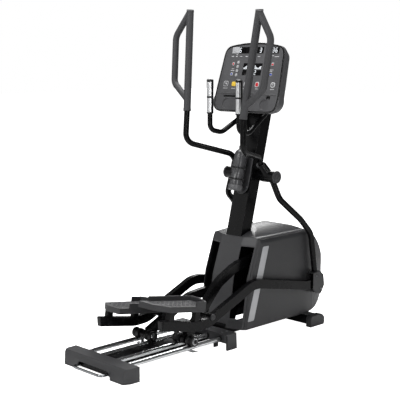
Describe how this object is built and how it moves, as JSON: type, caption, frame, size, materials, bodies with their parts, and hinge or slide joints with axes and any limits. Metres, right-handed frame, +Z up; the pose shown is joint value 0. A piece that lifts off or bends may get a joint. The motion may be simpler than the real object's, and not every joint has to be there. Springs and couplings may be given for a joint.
{
  "type": "elliptical trainer",
  "caption": "Front-drive elliptical trainer with rail rollers, pedals on bent arms, swinging looped handlebars, a leaning mast and a display console.",
  "frame": {"origin": "on the floor, under the middle of the machine", "axes": "+X the way the user faces, +Y the user's left, +Z up"},
  "size_m": [1.7164, 0.7902, 1.8053],
  "materials": {
    "frame_steel": "satin black powder coat",
    "frame_grey": "satin dark grey powder coat",
    "chrome_rod": "polished hard chrome",
    "chrome_handle": "polished",
    "bright_steel": "turned",
    "cover_plastic": "fine textured",
    "cap_plastic": "fine textured",
    "housing_plastic": "fine textured",
    "housing_top": "fine textured",
    "silver_trim": "satin silver",
    "console_plastic": "fine textured",
    "console_shell": "fine textured",
    "keypad_film": "printed polyester film",
    "grip_black": "moulded",
    "sensor_steel": "satin stainless",
    "cage_plastic": "moulded",
    "bottle_plastic": "moulded",
    "belt_rubber": "ribbed",
    "pulley_plastic": "moulded",
    "flywheel_iron": "turned",
    "grip_rubber": "dipped foam",
    "pedal_plastic": "moulded",
    "tread_rubber": "herringbone tread",
    "roller_nylon": "moulded",
    "wheel_rubber": "moulded"
  },
  "bodies": {
    "root": {"base_spine": "frame_steel", "rear_stabiliser": "frame_steel", "front_stabiliser": "frame_steel", "mid_foot": "frame_grey", "rail_rods": "chrome_rod", "rear_cover": "cover_plastic", "lift_handle": "chrome_handle", "stabiliser_end_caps": "cap_plastic", "mast": "frame_steel", "mast_cross_tube": "frame_steel", "pivot_shaft": "bright_steel", "housing_right": "housing_plastic", "housing_left": "housing_plastic", "housing_centre": "housing_top", "housing_front": "housing_top", "trim_strips": "silver_trim", "console_fascia": "console_plastic", "console_back": "console_shell", "console_overlay": "keypad_film", "console_bracket": "frame_steel", "pulse_bar": "frame_steel", "pulse_grips": "grip_black", "pulse_sensors": "sensor_steel", "bottle_cage": "cage_plastic", "drive_frame": "frame_steel", "crank_bearings": "bright_steel", "flywheel_axle": "bright_steel", "drive_belt": "belt_rubber", "brake_magnets": "bright_steel"},
    "crankset": {"crank_axle": "bright_steel", "crank_arm_right": "frame_steel", "crank_arm_left": "frame_steel", "drive_pulley": "pulley_plastic"},
    "flywheel": {"flywheel": "flywheel_iron"},
    "idler": {"idler_pulley": "pulley_plastic"},
    "bottle": {"bottle": "bottle_plastic"},
    "swing_right": {"swing_arm_right": "frame_steel", "hub_cap_right": "cap_plastic", "handlebar_right": "frame_steel", "handlebar_grip_right": "grip_rubber", "link_shroud_right": "cap_plastic"},
    "pedal_arm_right": {"pedal_arm_right": "frame_steel", "pedal_right": "pedal_plastic", "pedal_tread_right": "tread_rubber"},
    "carriage_right": {"roller_axle_right": "bright_steel"},
    "rail_arm_right": {"rail_arm_right": "frame_steel"},
    "rollers_right": {"rail_rollers_right": "roller_nylon"},
    "transport_wheel_right": {"transport_wheel_right": "wheel_rubber"},
    "swing_left": {"swing_arm_left": "frame_steel", "hub_cap_left": "cap_plastic", "handlebar_left": "frame_steel", "handlebar_grip_left": "grip_rubber", "link_shroud_left": "cap_plastic"},
    "pedal_arm_left": {"pedal_arm_left": "frame_steel", "pedal_left": "pedal_plastic", "pedal_tread_left": "tread_rubber"},
    "carriage_left": {"roller_axle_left": "bright_steel"},
    "rail_arm_left": {"rail_arm_left": "frame_steel"},
    "rollers_left": {"rail_rollers_left": "roller_nylon"},
    "transport_wheel_left": {"transport_wheel_left": "wheel_rubber"}
  },
  "joints": [
    {"name": "crank_turn", "type": "hinge", "parent": "root", "child": "crankset", "pos_m": [0.5945, 0, 0.325], "axis": [0, 1, 0], "range_deg": [0, 90]},
    {"name": "flywheel_spin", "type": "hinge", "parent": "root", "child": "flywheel", "pos_m": [0.715, 0, 0.24], "axis": [0, 1, 0], "range_deg": [-5, 610]},
    {"name": "idler_spin", "type": "hinge", "parent": "root", "child": "idler", "pos_m": [0.66968, 0, 0.19515], "axis": [0, 1, 0], "range_deg": [-685, 5]},
    {"name": "bottle_lift", "type": "slide", "parent": "root", "child": "bottle", "axis": [0.2462, 0, 0.9692], "range_m": [0, 0.15]},
    {"name": "swing_right", "type": "hinge", "parent": "root", "child": "swing_right", "pos_m": [0.3415, -0.131, 0.892], "axis": [0, 1, 0], "range_deg": [-12.65, 0.5]},
    {"name": "link_foot_right", "type": "hinge", "parent": "swing_right", "child": "pedal_arm_right", "pos_m": [0.66531, -0.207, 0.24859], "axis": [0, 1, 0], "range_deg": [-0.5, 5.86]},
    {"name": "carriage_right", "type": "slide", "parent": "root", "child": "carriage_right", "axis": [1, 0, 0], "range_m": [-0.002, 0.1177]},
    {"name": "rail_arm_right", "type": "hinge", "parent": "carriage_right", "child": "rail_arm_right", "pos_m": [-0.28248, -0.104, 0.0905], "axis": [0, 1, 0], "range_deg": [-0.5, 11.81]},
    {"name": "rollers_right", "type": "hinge", "parent": "carriage_right", "child": "rollers_right", "pos_m": [-0.28248, -0.104, 0.0905], "axis": [0, 1, 0], "range_deg": [-3, 334.6]},
    {"name": "wheel_right", "type": "hinge", "parent": "root", "child": "transport_wheel_right", "pos_m": [0.69, -0.223, 0.034], "axis": [0, 1, 0], "continuous": true},
    {"name": "swing_left", "type": "hinge", "parent": "root", "child": "swing_left", "pos_m": [0.3415, 0.131, 0.892], "axis": [0, 1, 0], "range_deg": [-0.5, 14.45]},
    {"name": "link_foot_left", "type": "hinge", "parent": "swing_left", "child": "pedal_arm_left", "pos_m": [0.61304, 0.207, 0.22484], "axis": [0, 1, 0], "range_deg": [-9.95, 0.5]},
    {"name": "carriage_left", "type": "slide", "parent": "root", "child": "carriage_left", "axis": [1, 0, 0], "range_m": [-0.1548, 0.002]},
    {"name": "rail_arm_left", "type": "hinge", "parent": "carriage_left", "child": "rail_arm_left", "pos_m": [-0.37397, 0.104, 0.0905], "axis": [0, 1, 0], "range_deg": [-11.27, 0.5]},
    {"name": "rollers_left", "type": "hinge", "parent": "carriage_left", "child": "rollers_left", "pos_m": [-0.37397, 0.104, 0.0905], "axis": [0, 1, 0], "range_deg": [-440.63, 3]},
    {"name": "wheel_left", "type": "hinge", "parent": "root", "child": "transport_wheel_left", "pos_m": [0.69, 0.223, 0.034], "axis": [0, 1, 0], "continuous": true}
  ],
  "couplings": [
    {"joint": "flywheel_spin", "follows": "crank_turn", "ratio": 6.6667},
    {"joint": "idler_spin", "follows": "crank_turn", "ratio": -7.5},
    {"joint": "swing_right", "follows": "crank_turn", "ratio": -0.13495},
    {"joint": "link_foot_right", "follows": "crank_turn", "ratio": 0.059524},
    {"joint": "carriage_right", "follows": "crank_turn", "m_per_rad": 0.073689},
    {"joint": "rail_arm_right", "follows": "crank_turn", "ratio": 0.12564},
    {"joint": "rollers_right", "follows": "crank_turn", "ratio": 3.6844},
    {"joint": "swing_left", "follows": "crank_turn", "ratio": 0.15504},
    {"joint": "link_foot_left", "follows": "crank_turn", "ratio": -0.105},
    {"joint": "carriage_left", "follows": "crank_turn", "m_per_rad": -0.09725},
    {"joint": "rail_arm_left", "follows": "crank_turn", "ratio": -0.11966},
    {"joint": "rollers_left", "follows": "crank_turn", "ratio": -4.8625}
  ]
}
